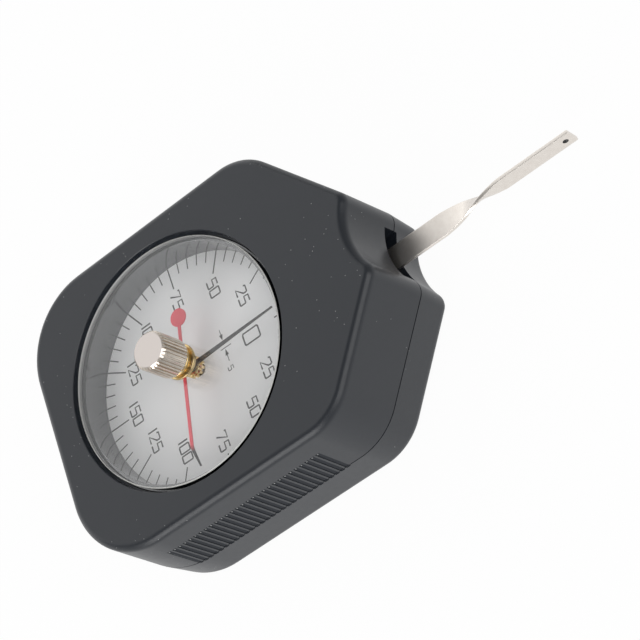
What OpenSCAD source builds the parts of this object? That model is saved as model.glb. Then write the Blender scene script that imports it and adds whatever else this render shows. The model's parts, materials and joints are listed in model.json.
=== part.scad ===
// Dial tension gauge with a swinging lever, a dial pointer and a peak pointer.
// Millimetres. Origin on the rear face under the dial axis, +Y to the lever tip, +Z out of the dial.

/* [Case] */
// Width of the case at the parting line
case_w = 60.9; // [60.3:0.1:62.3]
// Distance from the dial axis down to the bottom edge at the parting line
case_bottom = 32.1; // [31.5:0.1:34]
// Depth of the case from rear face to front face
case_depth = 25.6; // [25.4:0.1:26.6]
// Height of the parting line between the two housings
part_z = 10.1; // [9.8:0.1:10.5]
// Distance of each shoulder face from the dial axis
shoulder_dist = 40.7; // [40.2:0.1:42]
// Direction of each shoulder face, turned from the side face
shoulder_angle = 51.4; // [49.4:0.1:53]
// Corner radius between side and shoulder
shoulder_r = 12.6; // [10:0.1:14]
// Corner radius at the bottom
bottom_r = 16.5; // [14:0.1:18]
// Radius of the hollow that the lever comes out of
notch_r = 12.9; // [12.4:0.1:13.4]
// Distance from the dial axis to the centre of that hollow
notch_y = 55.9; // [55.6:0.1:56.6]
// Radius of the two horns beside the hollow
horn_r = 3.1; // [3:0.1:3.4]
// Lean of the front side walls over their height
front_draft = 0.4; // [0.3:0.1:0.6]
// Lean of the rear side walls over their height
rear_draft = 0.4; // [0.3:0.1:0.6]
// Rounding of the front edge
front_round = 1.5; // [1:0.1:1.8]
// Rounding of the rear edge
rear_round = 2.35; // [2:0.05:2.4]
// Bevel of both housings where they meet
part_bevel = 0.2; // [0.1:0.05:0.3]
// Thickness of the side walls at the parting line
wall = 2.6; // [2.4:0.1:2.8]
// Thickness of the front wall round the dial
front_wall = 2.2; // [1.8:0.1:2.6]
// Thickness of the rear wall
rear_wall = 2; // [1.6:0.1:2.2]

/* [Grip] */
// Grooves on each long side
grip_count = 29; // [25:1:29]
// Distance from groove to groove
grip_pitch = 1.3; // [1.2:0.02:1.3]
// Width of one groove
grip_w = 0.88; // [0.6:0.02:0.94]
// Depth of one groove
grip_depth = 0.25; // [0.2:0.05:0.5]
// Length of a groove up from the parting line
grip_len = 9.3; // [7:0.1:11]
// Middle of the row of grooves along the side
grip_y = 0.25; // [-1:0.05:0.5]

/* [Dial] */
// Radius of the round opening in the front face
dial_open_r = 25; // [24.9:0.05:25.3]
// Radius of the bore that holds crystal, ring and dial
dial_bore_r = 24.65; // [24.5:0.05:24.7]
// Wall of the collar round that bore
collar_wall = 1.75; // [1.4:0.05:2]
// Inner radius of the ledge under the dial
ledge_r = 21.5; // [21:0.1:22]
// Height of the ledge top, where the dial plate lies
ledge_z = 16.4; // [16.35:0.05:16.5]
// Thickness of the ledge
ledge_t = 1; // [0.8:0.05:1]
// Thickness of the dial plate
dial_t = 0.6; // [0.5:0.05:0.6]
// Radius of the hole in the dial plate
dial_hole_r = 1.2; // [1.1:0.05:1.6]
// Inner radius of the ring between dial and crystal
ring_inner_r = 23.3; // [23.2:0.05:23.8]
// Height of the crystal underside
crystal_z = 23.3; // [23.2:0.05:23.35]
// Thickness of the crystal
crystal_t = 2; // [1.8:0.05:2.1]
// Bevel of the crystal edge
crystal_bevel = 0.4; // [0.2:0.05:0.45]

/* [Reset knob] */
// Outer radius of the knurled knob
knob_r = 3.82; // [3.6:0.01:3.9]
// Height of the knob end above the rear face
knob_top = 33.1; // [32.4:0.1:34]
// Ribs round the knob
knob_ribs = 33; // [24:1:36]
// Depth of the knurl
knurl_depth = 0.3; // [0.15:0.01:0.34]
// Bevel at both ends of the knob
knob_bevel = 0.4; // [0.2:0.05:0.45]
// Radius of the spindle under the knob
spindle_r = 0.8; // [0.7:0.02:0.84]
// Outer radius of the bush through the crystal
bush_r = 1.9; // [1.7:0.05:2]
// Radius of the bush flanges below and above the crystal
flange_r = 3.2; // [3:0.05:3.3]

/* [Pointers] */
// Angle of the dial pointer at rest, clockwise from zero
pointer_rest = -1.4; // [-2:0.1:0]
// Reach of the dial pointer
pointer_len = 20.5; // [18:0.1:20.8]
// Length of the dial pointer behind its axis
pointer_tail = 2.4; // [2:0.1:4]
// Width of the dial pointer near the hub
pointer_w = 1; // [0.9:0.05:1.3]
// Width of the dial pointer at its tip
pointer_tip_w = 0.3; // [0.25:0.05:0.5]
// Height of the dial pointer underside
pointer_z = 19.5; // [19.45:0.05:19.55]
// Thickness of both pointers
pointer_t = 0.25; // [0.2:0.05:0.3]
// Height of the peak pointer underside
peak_z = 21.95; // [21.9:0.05:22]
// Angle of the peak pointer, clockwise from zero
peak_angle = 103; // [60:0.1:150]
// Reach of the peak pointer
peak_len = 20; // [18.5:0.1:20.8]
// Radius where the peak pointer bends down
peak_bend_r = 17; // [16.6:0.1:17.4]
// Drop of the bent tip
peak_drop = 2.1; // [1.7:0.05:2.15]
// Width of the peak pointer
peak_w = 0.75; // [0.6:0.05:0.9]
// Radius of the round counterweight
weight_r = 1.8; // [1.5:0.05:2]
// Distance of the counterweight from the axis
weight_dist = 9.3; // [8.5:0.1:10]

/* [Lever] */
// Distance of the lever axis from the dial axis
pivot_y = 31.15; // [31.1:0.05:31.2]
// Distance of the lever tip from the dial axis
lever_tip_y = 83.6; // [79:0.1:87]
// Width of the strip inside the case
lever_w = 4.7; // [4.2:0.1:4.9]
// Width of the strip past its twist
lever_tip_w = 3.8; // [3:0.05:4.2]
// Thickness of the strip
lever_t = 0.72; // [0.6:0.02:0.8]
// Height of the strip underside
lever_z = 10.43; // [10.35:0.01:10.5]
// Start of the twist along the lever
twist_y0 = 53.5; // [51:0.1:55]
// End of the twist along the lever
twist_y1 = 67.3; // [65:0.1:69]
// Radius of the eye at the lever tip
eye_r = 0.55; // [0.4:0.05:0.7]
// Distance of that eye from the tip
eye_back = 1.6; // [1.4:0.1:3]
// Half width of the slot for the lever
slot_half = 5.5; // [5.4:0.05:6]
// Height of the lower edge of the slot
slot_z0 = 9.2; // [8.6:0.05:9.4]
// Height of the upper edge of the slot
slot_z1 = 13; // [12.6:0.05:13.3]

/* [Movement] */
// Gear size, pitch diameter over teeth
gear_module = 0.35; // [0.35]
// Teeth on the pinion
pinion_teeth = 10; // [10]
// Teeth of a full wheel that the sector is cut from
sector_full_teeth = 168; // [168]
// Teeth left of the middle tooth on the sector
sector_side_teeth = 8; // [8:1:9]
// Play between the tooth flanks at the pitch line
gear_play = 0.06; // [0.05:0.01:0.09]
// Height of the rear plate underside
rear_plate_z = 3.6; // [3.5:0.05:3.65]
// Height of the front plate underside
front_plate_z = 13.6; // [13.5:0.05:13.65]
// Thickness of both plates
plate_t = 1.2; // [1:0.05:1.3]
// Radius of the plate pillars
pillar_r = 2; // [1.8:0.05:2.1]
// Radius of the lever arbor
lever_arbor_r = 1.5; // [1.3:0.05:1.6]
// Radius of the lever arbor ends in their bushes
lever_pivot_r = 0.9; // [0.8:0.02:0.96]
// Radius of the pointer arbor
arbor_r = 0.75; // [0.65:0.02:0.8]
// Radius of the pointer arbor end in the rear bush
arbor_pivot_r = 0.45; // [0.4:0.01:0.5]
// Radius of the lever hub
hub_r = 6; // [5.6:0.1:6.2]

/* [Springs] */
// Turns of the lever spring
main_turns = 4.5; // [4.5]
// Distance between the coils of the lever spring
main_pitch = 1.05; // [0.9:0.05:1.1]
// Thickness of the lever spring strip
main_t = 0.32; // [0.25:0.01:0.38]
// Turns of the hairspring
hair_turns = 6.5; // [6.5]
// Distance between the coils of the hairspring
hair_pitch = 0.52; // [0.48:0.01:0.56]
// Thickness of the hairspring strip
hair_t = 0.14; // [0.1:0.01:0.18]

/* [Fits] */
// Radial play of a turning shaft in its hole
run_play = 0.04; // [0.02:0.01:0.08]
// Radial play of a piece fixed on a shaft or in a hole
fix_play = 0.02; // [0.01:0.005:0.03]
// Radial play of a screw in a clearance hole
screw_play = 0.15; // [0.1:0.05:0.25]
// Gap between a moving piece and a still one
gap = 0.3; // [0.2:0.05:0.35]

/* [Hidden] */
$fn = 64;
eps = 0.01;

// Case outline, measured at the parting line
horn_dir = [cos(shoulder_angle), sin(shoulder_angle)];
bottom_c = [case_w / 2 - bottom_r, bottom_r - case_bottom];
shoulder_x = case_w / 2 - shoulder_r;
shoulder_c = [shoulder_x, (shoulder_dist - shoulder_r - horn_dir.x * shoulder_x) / horn_dir.y];
horn_base = horn_dir * (shoulder_dist - horn_r);
horn_along = [-horn_dir.y, horn_dir.x];
horn_to_notch = [0, notch_y] - horn_base;
horn_mid = horn_to_notch * horn_along;
horn_off = horn_to_notch * horn_dir;
horn_step = horn_mid - sqrt(pow(notch_r + horn_r, 2) - horn_off * horn_off);
horn_c = horn_base + horn_along * horn_step;
horn_end = atan2(notch_y - horn_c.y, -horn_c.x);
draft_span = case_depth - front_round - part_z;

// Heights that follow from the sizes above
cavity_top = case_depth - front_wall;
collar_bottom = ledge_z - ledge_t;
collar_r = dial_bore_r + collar_wall;
dial_top = ledge_z + dial_t;
crystal_top = crystal_z + crystal_t;
rim_t = 0.45;
rim_z = crystal_top + 0.05;
knob_bottom = rim_z + rim_t + 0.2;
flange_t = 0.5;
flange_z = crystal_z - 0.05 - flange_t;
peak_top = peak_z + pointer_t;
peak_hub_t = 0.4;
peak_hub_r = flange_r - 0.2;
washer_z = peak_top + peak_hub_t;
spindle_bottom = peak_z - gap;
pointer_hub_h = 1.2;
pointer_hub_z = pointer_z - pointer_hub_h;
pointer_hub_r = 2.1;
pointer_cap_r = 1.65;
pointer_cap_t = 0.3;
pointer_boss_r = 1.1;
hub_splines = 12;
hub_spline_w = 0.5;
arbor_top = pointer_z + pointer_t + 0.5;
sector_z = lever_z + lever_t;
sector_t = 1;
hub_z = lever_z - 2.2;
rear_plate_top = rear_plate_z + plate_t;
front_plate_top = front_plate_z + plate_t;

// Gear pair
pressure = 25;
pinion_pitch_r = gear_module * pinion_teeth / 2;
sector_pitch_r = gear_module * sector_full_teeth / 2;
pinion_tip_r = pinion_pitch_r + gear_module;
pinion_root_r = pinion_pitch_r - 1.1 * gear_module;
sector_tip_r = sector_pitch_r + 0.85 * gear_module;
sector_root_r = sector_pitch_r - 1.25 * gear_module;
sector_rim_r = sector_root_r - 3;
sector_step = 360 / sector_full_teeth;
swing = 180 / (sector_full_teeth / pinion_teeth);
spoke_angle = 14;
spoke_w = 3;
stop_dist = 15;
stop_r = 1;
stop_angle = spoke_angle + swing + asin((spoke_w / 2 + stop_r + gap) / stop_dist);

// Springs
collet_r = 2.5;
collet_t = 1.6;
main_z = rear_plate_top + 0.9;
main_r0 = collet_r + gap + main_t / 2;
main_r1 = main_r0 + main_pitch * main_turns;
hair_collet_r = 1.3;
hair_z = rear_plate_top + 1.1;
hair_r0 = hair_collet_r + gap + hair_t / 2;
hair_r1 = hair_r0 + hair_pitch * hair_turns;
main_stud_r = 1.1;
main_stud_out = 0.6;
main_stud_x = -main_r1 - main_stud_out;
hair_stud_r = 0.8;
hair_stud_out = 0.45;
hair_stud_x = -hair_r1 - hair_stud_out;

// Places of the fasteners
case_screw_at = [[22, -23], [-22, -23], [21, 25.5], [-21, 25.5]];
pillar_at = [[12.5, -8.5], [-12.5, -8.5], [10, 35], [-10, 35]];
mount_screw_at = [[13, 15.5], [-13, 15.5], [0, -9]];
lever_screw_at = [[0, pivot_y + 4], [0, pivot_y - 4]];
case_screw_r = 1.25;
case_head_r = 2.4;
small_screw_r = 0.8;
plate_screw_len = 3.6;
plate_head_r = 1.7;
plate_half = 17;
plate_low = 12;
plate_high = 37.6;

// Points along an arc, end points included
function arc(c, r, a0, a1, n) = [for (i = [0:n]) c + r * [cos(a0 + (a1 - a0) * i / n), sin(a0 + (a1 - a0) * i / n)]];

// Points along an arc without its end points
function inner_arc(c, r, a0, a1, n) =
    [for (i = [1:n - 1]) c + r * [cos(a0 + (a1 - a0) * i / n), sin(a0 + (a1 - a0) * i / n)]];

function flip(c) = [-c.x, c.y];

// Case outline moved inwards by d
function outline(d) = concat(
    arc(bottom_c, bottom_r - d, -90, 0, 16),
    arc(shoulder_c, shoulder_r - d, 0, shoulder_angle, 10),
    arc(horn_c, horn_r - d, shoulder_angle, horn_end, 8),
    inner_arc([0, notch_y], notch_r + d, horn_end - 180, -horn_end, 16),
    arc(flip(horn_c), horn_r - d, 180 - horn_end, 180 - shoulder_angle, 8),
    arc(flip(shoulder_c), shoulder_r - d, 180 - shoulder_angle, 180, 10),
    arc(flip(bottom_c), bottom_r - d, 180, 270, 16));

// Polygon with every corner rounded to radius r
function rounded(p, r, n) = [for (i = [0:len(p) - 1])
    let (a = p[(i + len(p) - 1) % len(p)], b = p[i], c = p[(i + 1) % len(p)])
    let (u = (a - b) / norm(a - b), v = (c - b) / norm(c - b))
    let (m = (u + v) / norm(u + v), s = sqrt((1 - u * v) / 2))
    let (o = b + m * r / s)
    let (from = b + u * (u * (o - b)) - o, to = b + v * (v * (o - b)) - o)
    let (a0 = atan2(from.y, from.x), a1 = atan2(to.y, to.x))
    let (turn = a1 - a0 < -180 ? a1 - a0 + 360 : a1 - a0 > 180 ? a1 - a0 - 360 : a1 - a0)
    for (k = [0:n]) o + r * [cos(a0 + turn * k / n), sin(a0 + turn * k / n)]];

// Half angle of a gear tooth at radius r, in degrees
function inv(a) = tan(a) * 180 / PI - a;
function half_tooth(r, pitch_r, teeth) = 90 / teeth - gear_play / 4 / pitch_r * 180 / PI
    + inv(pressure) - inv(acos(min(1, pitch_r * cos(pressure) / r)));

// One tooth as points from the right root over the tip to the left root
function tooth(mid, root_r, tip_r, pitch_r, teeth, n) = let (base_r = max(root_r, pitch_r * cos(pressure)))
    let (right = [for (i = [0:n]) let (r = base_r + (tip_r - base_r) * i / n) [r, half_tooth(r, pitch_r, teeth)]])
    concat(
        base_r > root_r ? [root_r * [cos(mid - right[0][1]), sin(mid - right[0][1])]] : [],
        [for (q = right) q[0] * [cos(mid - q[1]), sin(mid - q[1])]],
        [for (i = [n:-1:0]) right[i][0] * [cos(mid + right[i][1]), sin(mid + right[i][1])]],
        base_r > root_r ? [root_r * [cos(mid + right[0][1]), sin(mid + right[0][1])]] : []);

// Flat spiral strip as a closed outline
function spiral(r0, pitch, turns, t, n) = concat(
    [for (i = [0:n]) (r0 + t / 2 + pitch * turns * i / n) * [cos(360 * turns * i / n), sin(360 * turns * i / n)]],
    [for (i = [n:-1:0]) (r0 - t / 2 + pitch * turns * i / n) * [cos(360 * turns * i / n), sin(360 * turns * i / n)]]);

// Solid between stacked outlines, each level given as height and inset
module stacked(levels) {
    n = len(outline(0));
    last = len(levels) - 1;
    points = [for (l = levels) for (p = outline(l[1])) [p.x, p.y, l[0]]];
    sides = [for (j = [0:last - 1]) for (i = [0:n - 1])
        [j * n + i, (j + 1) * n + i, (j + 1) * n + (i + 1) % n, j * n + (i + 1) % n]];
    polyhedron(points, concat([[for (i = [0:n - 1]) i]], [[for (i = [n - 1:-1:0]) last * n + i]], sides));
}

// Upright rod from one height to another
module rod(r, z0, z1) {
    translate([0, 0, z0]) cylinder(r = r, h = z1 - z0);
}

module at(places) {
    for (p = places) translate([p.x, p.y, 0]) children();
}

// Screw with its head up, a straight driver slot across the head
module slotted_screw(r, head_r, head_z, head_h, bottom) {
    difference() {
        union() {
            rod(r, bottom, head_z + eps);
            rod(head_r, head_z, head_z + head_h);
        }
        translate([-head_r - 1, -0.2, head_z + head_h * 0.5]) cube([2 * head_r + 2, 0.4, head_h]);
    }
}

// Straight slot through both housings for the lever
module lever_slot() {
    translate([-slot_half, pivot_y + 6, slot_z0]) cube([2 * slot_half, 16, slot_z1 - slot_z0]);
}

// Grooves cut into one long side, leaning with the wall
module grip_side() {
    lean = atan(front_draft / draft_span);
    for (i = [0:grip_count - 1])
        translate([case_w / 2, grip_y + (i - (grip_count - 1) / 2) * grip_pitch, part_z])
            rotate([0, -lean, 0])
                translate([-grip_depth, -grip_w / 2, -1]) cube([2, grip_w, grip_len + 1]);
}

module front_housing() {
    levels = concat([[part_z, part_bevel], [part_z + part_bevel, 0]],
        [for (i = [0:6]) [case_depth - front_round + front_round * sin(15 * i),
            front_draft + front_round * (1 - cos(15 * i))]]);
    color([0.16, 0.16, 0.17])
    difference() {
        stacked(levels);
        difference() {
            translate([0, 0, part_z - 1]) linear_extrude(cavity_top - part_z + 1) polygon(outline(wall));
            rod(collar_r, collar_bottom, case_depth);
            at(case_screw_at) rod(case_head_r + 0.9, part_z - 2, case_depth);
        }
        rod(dial_bore_r, ledge_z, case_depth + 1);
        rod(ledge_r, collar_bottom - 1, ledge_z + 1);
        translate([0, 0, case_depth - 0.7])
            cylinder(r1 = dial_bore_r, r2 = dial_open_r + (dial_open_r - dial_bore_r) / 7, h = 0.8);
        at(case_screw_at) rod(case_screw_r + fix_play, part_z - 1, cavity_top - 3);
        lever_slot();
        grip_side();
        mirror([1, 0, 0]) grip_side();
    }
}

module rear_housing() {
    levels = concat([for (i = [0:6]) [rear_round - rear_round * cos(15 * i),
        rear_draft + rear_round * (1 - sin(15 * i))]], [[part_z - part_bevel, 0], [part_z, part_bevel]]);
    color([0.16, 0.16, 0.17])
    difference() {
        stacked(levels);
        difference() {
            translate([0, 0, rear_wall]) linear_extrude(part_z) polygon(outline(wall));
            at(case_screw_at) rod(case_head_r + 1.1, 0, part_z);
            at(mount_screw_at) rod(2.6, 0, rear_plate_z);
        }
        at(case_screw_at) rod(case_screw_r + screw_play, -1, part_z + 1);
        at(case_screw_at) rod(case_head_r + 0.3, -1, 2.4);
        at(mount_screw_at) rod(1 + fix_play, rear_wall - 0.8, rear_plate_z + 1);
        lever_slot();
    }
}

module case_screws() {
    color([0.25, 0.25, 0.26])
    at(case_screw_at)
        difference() {
            union() {
                rod(case_screw_r, 1, cavity_top - 4);
                translate([0, 0, 0.5]) cylinder(r1 = case_head_r - 0.4, r2 = case_head_r, h = 0.5);
                rod(case_head_r, 1, 2.4);
            }
            translate([-1.5, -0.28, -1]) cube([3, 0.56, 2.4]);
            translate([-0.28, -1.5, -1]) cube([0.56, 3, 2.4]);
        }
}

module crystal() {
    r = dial_bore_r - 0.05;
    color([0.9, 0.93, 0.95, 0.3])
    difference() {
        union() {
            rod(r, crystal_z, crystal_top - crystal_bevel);
            translate([0, 0, crystal_top - crystal_bevel])
                cylinder(r1 = r, r2 = r - crystal_bevel, h = crystal_bevel);
        }
        rod(bush_r + fix_play, crystal_z - 1, crystal_top + 1);
    }
}

module dial_ring() {
    color([0.45, 0.45, 0.46])
    difference() {
        rod(dial_bore_r - 0.15, dial_top, crystal_z);
        rod(ring_inner_r, dial_top - 1, crystal_z + 1);
    }
}

module dial_plate() {
    color([0.82, 0.82, 0.83])
    difference() {
        rod(dial_bore_r - 0.15, ledge_z, dial_top);
        rod(dial_hole_r, ledge_z - 1, dial_top + 1);
    }
}

module reset_knob() {
    h = knob_top - knob_bottom;
    color([0.8, 0.78, 0.75])
    difference() {
        intersection() {
            translate([0, 0, knob_bottom]) linear_extrude(h)
                polygon([for (i = [0:knob_ribs - 1]) for (q = [[-0.5, 1], [-0.24, 0], [0.24, 0], [0.5, 1]])
                    (knob_r - knurl_depth * q[1]) * [cos((i + q[0] * 0.98) * 360 / knob_ribs),
                        sin((i + q[0] * 0.98) * 360 / knob_ribs)]]);
            rotate_extrude()
                polygon([[0, knob_bottom], [knob_r - knob_bevel, knob_bottom], [knob_r, knob_bottom + knob_bevel],
                    [knob_r, knob_top - knob_bevel], [knob_r - knob_bevel, knob_top], [0, knob_top]]);
        }
        rod(spindle_r + fix_play, knob_bottom - 1, knob_top - 1.5);
    }
}

module knob_spindle() {
    color([0.75, 0.73, 0.7])
    union() {
        rod(spindle_r, spindle_bottom, knob_top - 1.7);
        rod(spindle_r + 0.35, spindle_bottom, peak_z);
    }
}

module bush_flange(bottom, thickness) {
    ease = 0.15;
    rotate_extrude()
        polygon([[0, bottom], [flange_r - ease, bottom], [flange_r, bottom + ease],
            [flange_r, bottom + thickness - ease], [flange_r - ease, bottom + thickness],
            [0, bottom + thickness]]);
}

module spindle_bush() {
    color([0.78, 0.6, 0.28])
    difference() {
        union() {
            rod(bush_r, flange_z, rim_z + rim_t);
            bush_flange(flange_z, flange_t);
            bush_flange(rim_z, rim_t);
        }
        rod(spindle_r + run_play, flange_z - 1, rim_z + rim_t + 1);
    }
}

module friction_washer() {
    color([0.6, 0.6, 0.58])
    difference() {
        rod(peak_hub_r - 0.7, washer_z, flange_z);
        rod(spindle_r + 0.3, washer_z - 1, flange_z + 1);
    }
}

module peak_pointer_hub() {
    color([0.78, 0.6, 0.28])
    difference() {
        rotate_extrude()
            polygon([[0, peak_top], [peak_hub_r - 0.1, peak_top], [peak_hub_r, peak_top + 0.1],
                [peak_hub_r, washer_z - 0.1], [peak_hub_r - 0.1, washer_z], [0, washer_z]]);
        rod(spindle_r + fix_play, peak_top - 1, washer_z + 1);
    }
}

module peak_pointer() {
    fall = atan(peak_drop / (peak_len - peak_bend_r));
    run = (peak_len - peak_bend_r) / cos(fall);
    color([0.75, 0.1, 0.13])
    rotate([0, 0, -peak_angle])
        difference() {
            union() {
                translate([0, 0, peak_z]) linear_extrude(pointer_t)
                    union() {
                        circle(r = 2);
                        translate([0, -weight_dist]) circle(r = weight_r);
                        polygon([[-peak_w / 2, -weight_dist], [peak_w / 2, -weight_dist],
                            [peak_w / 2, peak_bend_r], [-peak_w / 2, peak_bend_r]]);
                    }
                translate([0, peak_bend_r, peak_top]) rotate([-fall, 0, 0]) translate([0, 0, -pointer_t])
                    linear_extrude(pointer_t)
                        polygon([[-peak_w / 2, -0.02], [peak_w / 2, -0.02], [0.15, run], [-0.15, run]]);
            }
            rod(spindle_r + fix_play, peak_z - 1, peak_top + 1);
        }
}

module pointer() {
    color([0.12, 0.12, 0.13])
    translate([0, 0, pointer_z]) rotate([0, 0, -pointer_rest])
        linear_extrude(pointer_t)
            difference() {
                union() {
                    circle(r = pointer_boss_r);
                    polygon([[-pointer_w / 2, -pointer_tail], [pointer_w / 2, -pointer_tail], [pointer_w / 2, 0],
                        [pointer_tip_w / 2, pointer_len - 0.4], [0, pointer_len],
                        [-pointer_tip_w / 2, pointer_len - 0.4], [-pointer_w / 2, 0]]);
                }
                circle(r = arbor_r + fix_play);
            }
}

module pointer_hub() {
    splined_h = pointer_z - pointer_cap_t - pointer_hub_z;
    color([0.78, 0.6, 0.28])
    difference() {
        union() {
            rod(pointer_cap_r, pointer_hub_z, pointer_z);
            translate([0, 0, pointer_hub_z])
                linear_extrude(splined_h)
                    for (i = [0:hub_splines - 1]) rotate(360 / hub_splines * i)
                        translate([0, -hub_spline_w / 2]) square([pointer_hub_r, hub_spline_w]);
        }
        rod(arbor_r + fix_play, pointer_hub_z - 1, pointer_z + 1);
    }
}

module pointer_arbor() {
    color([0.7, 0.7, 0.72])
    union() {
        rod(arbor_pivot_r, rear_plate_z - 0.4, rear_plate_top + 0.21);
        rod(arbor_r, rear_plate_top + 0.2, arbor_top);
    }
}

module pinion() {
    color([0.72, 0.6, 0.32])
    translate([0, 0, sector_z - 0.3])
        linear_extrude(sector_t + 0.6)
            difference() {
                polygon([for (i = [0:pinion_teeth - 1]) each tooth(90 + (i + 0.5) * 360 / pinion_teeth,
                    pinion_root_r, pinion_tip_r, pinion_pitch_r, pinion_teeth, 6)]);
                circle(r = arbor_r + fix_play);
            }
}

module hairspring() {
    color([0.35, 0.4, 0.55])
    translate([0, 0, hair_z]) linear_extrude(0.8) polygon(spiral(hair_r0, hair_pitch, hair_turns, hair_t, 156));
}

module hairspring_collet() {
    color([0.78, 0.6, 0.28])
    difference() {
        rod(hair_collet_r, hair_z - 0.2, hair_z + 1);
        rod(arbor_r + fix_play, hair_z - 1, hair_z + 2);
    }
}

module hairspring_stud() {
    color([0.7, 0.7, 0.72])
    translate([hair_stud_x, 0, 0])
        difference() {
            union() {
                rod(hair_stud_r - 0.3, rear_plate_z, rear_plate_top + eps);
                rod(hair_stud_r, rear_plate_top, hair_z + 1.2);
            }
            translate([hair_stud_out - hair_t / 2 - fix_play, -2, hair_z - 0.05]) cube([2, 4, 2]);
        }
}

module lever() {
    mid_z = lever_z + lever_t / 2;
    color([0.8, 0.79, 0.77])
    difference() {
        union() {
            translate([-lever_w / 2, pivot_y - 5.6, lever_z]) cube([lever_w, twist_y0 - pivot_y + 5.6, lever_t]);
            translate([0, twist_y0, mid_z]) rotate([-90, 0, 0])
                linear_extrude(twist_y1 - twist_y0, twist = 90, slices = 24, $fn = 16, scale = [1, lever_tip_w / lever_w])
                    square([lever_w, lever_t], center = true);
            translate([-lever_t / 2, twist_y1, mid_z - lever_tip_w / 2])
                cube([lever_t, lever_tip_y - twist_y1, lever_tip_w]);
        }
        translate([-lever_t, lever_tip_y - eye_back, mid_z]) rotate([0, 90, 0]) cylinder(r = eye_r, h = 2 * lever_t);
        translate([0, pivot_y, 0]) rod(lever_arbor_r + fix_play, lever_z - 1, lever_z + 2);
        at(lever_screw_at) rod(small_screw_r + screw_play, lever_z - 1, lever_z + 2);
    }
}

module lever_hub() {
    color([0.72, 0.6, 0.32])
    difference() {
        translate([0, pivot_y, 0]) rod(hub_r, hub_z, lever_z);
        translate([0, pivot_y, 0]) rod(lever_arbor_r + fix_play, hub_z - 1, lever_z + 1);
        at(lever_screw_at) rod(small_screw_r + fix_play, hub_z - 1, lever_z + 1);
    }
}

module lever_arbor() {
    color([0.7, 0.7, 0.72])
    translate([0, pivot_y, 0])
        union() {
            rod(lever_pivot_r, rear_plate_z - 0.4, front_plate_top + 0.3);
            rod(lever_arbor_r, rear_plate_top + 0.2, front_plate_z - 0.2);
        }
}

module sector_gear() {
    span = (sector_side_teeth + 0.5) * sector_step;
    color([0.72, 0.6, 0.32])
    translate([0, pivot_y, sector_z])
        linear_extrude(sector_t)
            difference() {
                union() {
                    circle(r = hub_r);
                    for (s = [-1, 1]) rotate(-90 + s * spoke_angle) translate([0, -spoke_w / 2])
                        square([sector_rim_r + 1, spoke_w]);
                    polygon(concat(arc([0, 0], sector_rim_r, -90 + span, -90 - span, 24),
                        [for (i = [-sector_side_teeth:sector_side_teeth]) each tooth(-90 + i * sector_step,
                            sector_root_r, sector_tip_r, sector_pitch_r, sector_full_teeth, 4)]));
                }
                circle(r = lever_arbor_r + fix_play);
                for (p = lever_screw_at) translate([p.x, p.y - pivot_y]) circle(r = small_screw_r + screw_play);
            }
}

module lever_screws() {
    color([0.5, 0.5, 0.52])
    at(lever_screw_at) slotted_screw(small_screw_r, 1.4, sector_z + sector_t, 0.7, hub_z + 0.2);
}

module main_spring() {
    color([0.35, 0.4, 0.55])
    translate([0, pivot_y, main_z]) linear_extrude(1.2)
        polygon(spiral(main_r0, main_pitch, main_turns, main_t, 108));
}

module spring_collet() {
    color([0.78, 0.6, 0.28])
    translate([0, pivot_y, 0])
        difference() {
            rod(collet_r, main_z - 0.2, main_z + collet_t - 0.2);
            rod(lever_arbor_r + fix_play, main_z - 1, main_z + 2);
        }
}

module spring_stud() {
    color([0.7, 0.7, 0.72])
    translate([main_stud_x, pivot_y, 0])
        difference() {
            union() {
                rod(main_stud_r - 0.4, rear_plate_z, rear_plate_top + eps);
                rod(main_stud_r, rear_plate_top, main_z + 1.5);
            }
            translate([main_stud_out - main_t / 2 - fix_play, -2, main_z - 0.05]) cube([3, 4, 3]);
        }
}

// Outline shared by both movement plates
module plate_shape() {
    right = [[plate_half - 1.5, -plate_low], [plate_half, 4], [plate_half - 2, 24], [plate_half - 5, plate_high]];
    polygon(rounded(concat(right, [for (i = [3:-1:0]) flip(right[i])]), 3, 6));
}

module front_plate() {
    color([0.75, 0.66, 0.42])
    translate([0, 0, front_plate_z])
        linear_extrude(plate_t)
            difference() {
                plate_shape();
                circle(r = 1.6 + fix_play);
                translate([0, pivot_y]) circle(r = 2.2 + fix_play);
                for (p = pillar_at) translate(p) circle(r = small_screw_r + screw_play);
                for (s = [-1, 1]) translate([s * stop_dist * sin(stop_angle), pivot_y - stop_dist * cos(stop_angle)])
                    circle(r = stop_r - 0.4 + fix_play);
            }
}

module rear_plate() {
    color([0.75, 0.66, 0.42])
    translate([0, 0, rear_plate_z])
        linear_extrude(plate_t)
            difference() {
                plate_shape();
                circle(r = 1.6 + fix_play);
                translate([0, pivot_y]) circle(r = 2.2 + fix_play);
                for (p = pillar_at) translate(p) circle(r = 1 + fix_play);
                for (p = mount_screw_at) translate(p) circle(r = 1 + screw_play);
                for (s = [-1, 1]) translate([s * stop_dist * sin(stop_angle), pivot_y - stop_dist * cos(stop_angle)])
                    circle(r = stop_r - 0.4 + fix_play);
                translate([hair_stud_x, 0]) circle(r = hair_stud_r - 0.3 + fix_play);
                translate([main_stud_x, pivot_y]) circle(r = main_stud_r - 0.4 + fix_play);
            }
}

module plate_pillars() {
    color([0.72, 0.6, 0.32])
    at(pillar_at)
        difference() {
            union() {
                rod(1, rear_plate_z, rear_plate_top + eps);
                rod(pillar_r, rear_plate_top, front_plate_z);
            }
            rod(small_screw_r + fix_play, front_plate_z - plate_screw_len - 0.4, front_plate_z + 1);
        }
}

module plate_screws() {
    color([0.5, 0.5, 0.52])
    at(pillar_at) slotted_screw(small_screw_r, plate_head_r, front_plate_top, 1, front_plate_z - plate_screw_len);
}

module movement_screws() {
    color([0.5, 0.5, 0.52])
    at(mount_screw_at) slotted_screw(1, 1.9, rear_plate_top, 1.1, rear_wall - 0.6);
}

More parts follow.
